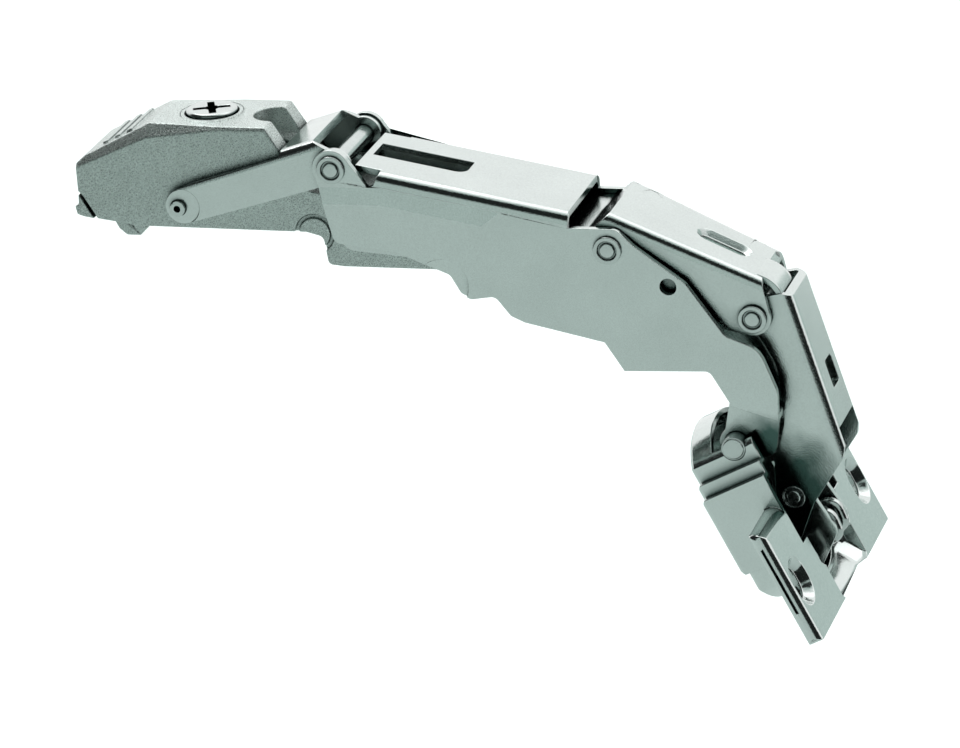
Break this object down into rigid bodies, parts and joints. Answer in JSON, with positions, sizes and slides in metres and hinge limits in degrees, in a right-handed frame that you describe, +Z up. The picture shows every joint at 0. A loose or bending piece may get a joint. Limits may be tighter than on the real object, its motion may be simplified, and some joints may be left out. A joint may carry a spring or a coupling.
{
  "type": "concealed hinge",
  "caption": "Wide-angle concealed cabinet hinge: cast slide-on arm, crossed sheet-metal links on riveted pins and a round door cup with a screw-on flange, standing open.",
  "frame": {"origin": "centre of the arm's seat, the flat underside of its front foot", "axes": "+Z up from the seat, +X along the arm towards the door, +Y along the pins, away from the side seen first"},
  "size_m": [0.1351, 0.055, 0.0857],
  "materials": {
    "cast_zinc": "grainy nickel-plated zinc casting",
    "plate_nickel": "satin nickel-plated pressed steel",
    "cup_nickel": "bright nickel-plated drawn steel",
    "pin_steel": "nickel-plated rivet steel with ring grooves",
    "screw_steel": "bright zinc-plated screw steel",
    "spring_steel": "plain spring wire and leaf"
  },
  "bodies": {
    "arm": {"arm_body": "cast_zinc", "rear_pins": "pin_steel", "lever_pin": "pin_steel", "lever_spring": "spring_steel"},
    "slide": {"clip_slide": "plate_nickel"},
    "depth_adjuster": {"depth_screw": "screw_steel"},
    "side_adjuster": {"side_screw": "screw_steel"},
    "lever": {"release_lever": "cast_zinc"},
    "rear_link": {"arm_link": "plate_nickel"},
    "door_link": {"outer_link": "plate_nickel", "knee_pin": "pin_steel", "cross_pin": "pin_steel"},
    "cross_link": {"inner_link": "plate_nickel", "front_pin": "pin_steel", "elbow_pin": "pin_steel"},
    "tail_link": {"cup_link": "plate_nickel", "tail_pin": "pin_steel"},
    "door_cup": {"cup": "cup_nickel", "cup_pin": "pin_steel", "tail_bracket": "plate_nickel", "spring_plate": "plate_nickel", "spring_pin": "pin_steel", "closing_spring": "spring_steel"}
  },
  "joints": [
    {"name": "rear_fold", "type": "hinge", "parent": "arm", "child": "rear_link", "pos_m": [-0.036, 0, 0.0104], "axis": [0, -1, 0], "range_deg": [0, 92.3]},
    {"name": "knee_fold", "type": "hinge", "parent": "rear_link", "child": "door_link", "pos_m": [-0.0071, 0, 0.0187], "axis": [0, -1, 0], "range_deg": [-63.5, 0]},
    {"name": "cross_fold", "type": "hinge", "parent": "door_link", "child": "cross_link", "pos_m": [0.041, 0, 0.0057], "axis": [0, -1, 0], "range_deg": [0, 53.2]},
    {"name": "elbow_fold", "type": "hinge", "parent": "cross_link", "child": "tail_link", "pos_m": [0.0649, 0, -0.0069], "axis": [0, -1, 0], "range_deg": [-63.8, 0]},
    {"name": "cup_fold", "type": "hinge", "parent": "door_link", "child": "door_cup", "pos_m": [0.0612, 0, -0.0294], "axis": [0, -1, 0], "range_deg": [0, 124.8]},
    {"name": "depth_slide", "type": "slide", "parent": "arm", "child": "slide", "axis": [1, 0, 0], "range_m": [-0.0015, 0.0015]},
    {"name": "depth_turn", "type": "hinge", "parent": "arm", "child": "depth_adjuster", "pos_m": [-0.0317, 0, 0.0248], "axis": [0, 0, 1], "range_deg": [-92, 92]},
    {"name": "side_turn", "type": "hinge", "parent": "arm", "child": "side_adjuster", "pos_m": [-0.0202, 0, 0.0194], "axis": [0, 0, 1], "range_deg": [-180, 180]},
    {"name": "lever_press", "type": "hinge", "parent": "arm", "child": "lever", "pos_m": [-0.0486, 0, 0.011], "axis": [0, -1, 0], "range_deg": [-4, 0], "stiffness_Nm_per_rad": 0.02, "springref_deg": 5.73}
  ],
  "couplings": [
    {"joint": "knee_fold", "follows": "rear_fold", "ratio": -0.68611},
    {"joint": "cross_fold", "follows": "rear_fold", "ratio": 0.57496},
    {"joint": "elbow_fold", "follows": "rear_fold", "ratio": -0.68907},
    {"joint": "cup_fold", "follows": "rear_fold", "ratio": 1.3509},
    {"joint": "depth_turn", "follows": "depth_slide", "rad_per_m": 1047.2}
  ]
}
